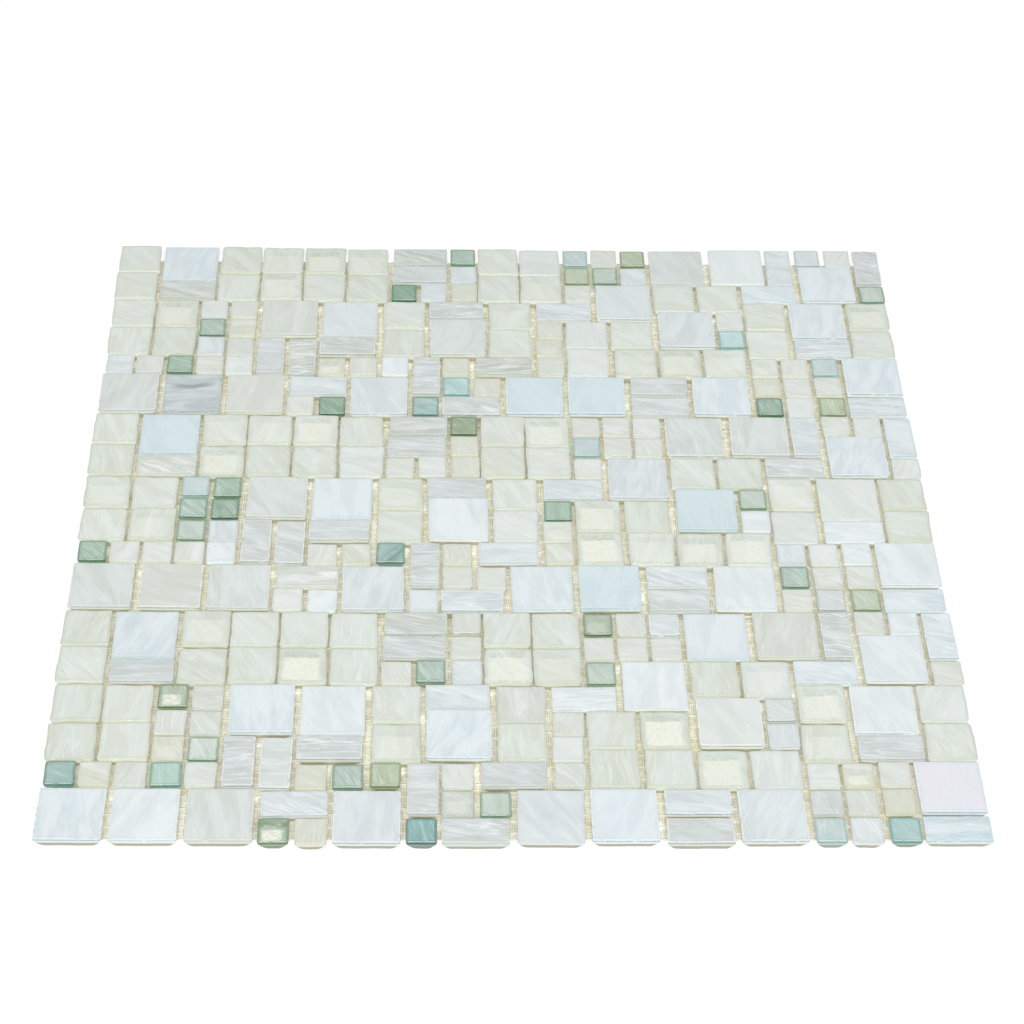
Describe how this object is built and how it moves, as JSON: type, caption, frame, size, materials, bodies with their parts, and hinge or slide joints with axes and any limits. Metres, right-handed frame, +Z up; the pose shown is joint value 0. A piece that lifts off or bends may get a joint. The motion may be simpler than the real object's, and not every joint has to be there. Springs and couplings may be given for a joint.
{
  "type": "mosaic tile sheet",
  "caption": "Square sheet of random-pattern glass mosaic: pearl, pale green and green pressed chips of several sizes, laid with open joints on a woven backing net.",
  "frame": {"origin": "middle of the sheet, on the back of the net, which lies on the floor", "axes": "+Z up through the polished tops, +X to the right along a course of chips, +Y towards the rear edge"},
  "size_m": [0.2994, 0.3051, 0.0055],
  "materials": {
    "pearl_glass": "glossy streaked pearl glass",
    "blue_glass": "glossy pale blue pearl glass",
    "pale_green_glass": "glossy translucent pale green glass",
    "white_glass": "glossy streaked white glass",
    "cream_glass": "glossy clear glass over cream glue",
    "green_glass": "glossy translucent green glass",
    "teal_glass": "glossy translucent teal glass",
    "net": "woven glass fibre yarn with dried cream glue"
  },
  "bodies": {
    "root": {"large_blue_chips_front": "blue_glass", "large_blue_chips_middle": "blue_glass", "large_blue_chips_rear": "blue_glass", "large_pearl_chips_front": "pearl_glass", "large_pearl_chips_middle": "pearl_glass", "large_pearl_chips_rear": "pearl_glass", "medium_green_chips_front": "pale_green_glass", "medium_green_chips_middle": "pale_green_glass", "medium_green_chips_rear": "pale_green_glass", "net_warp_left": "net", "net_warp_middle": "net", "net_warp_right": "net", "net_weft_front": "net", "net_weft_middle": "net", "net_weft_rear": "net", "pearl_strips_front": "pearl_glass", "pearl_strips_middle": "pearl_glass", "pearl_strips_rear": "pearl_glass", "small_cream_chips_front": "cream_glass", "small_cream_chips_middle": "cream_glass", "small_cream_chips_rear": "cream_glass", "small_green_chips_front": "green_glass", "small_green_chips_middle": "green_glass", "small_green_chips_rear": "green_glass", "small_teal_chips_front": "teal_glass", "small_teal_chips_middle": "teal_glass", "small_teal_chips_rear": "teal_glass", "small_white_chips_front": "white_glass", "small_white_chips_middle": "white_glass", "small_white_chips_rear": "white_glass"}
  },
  "joints": []
}
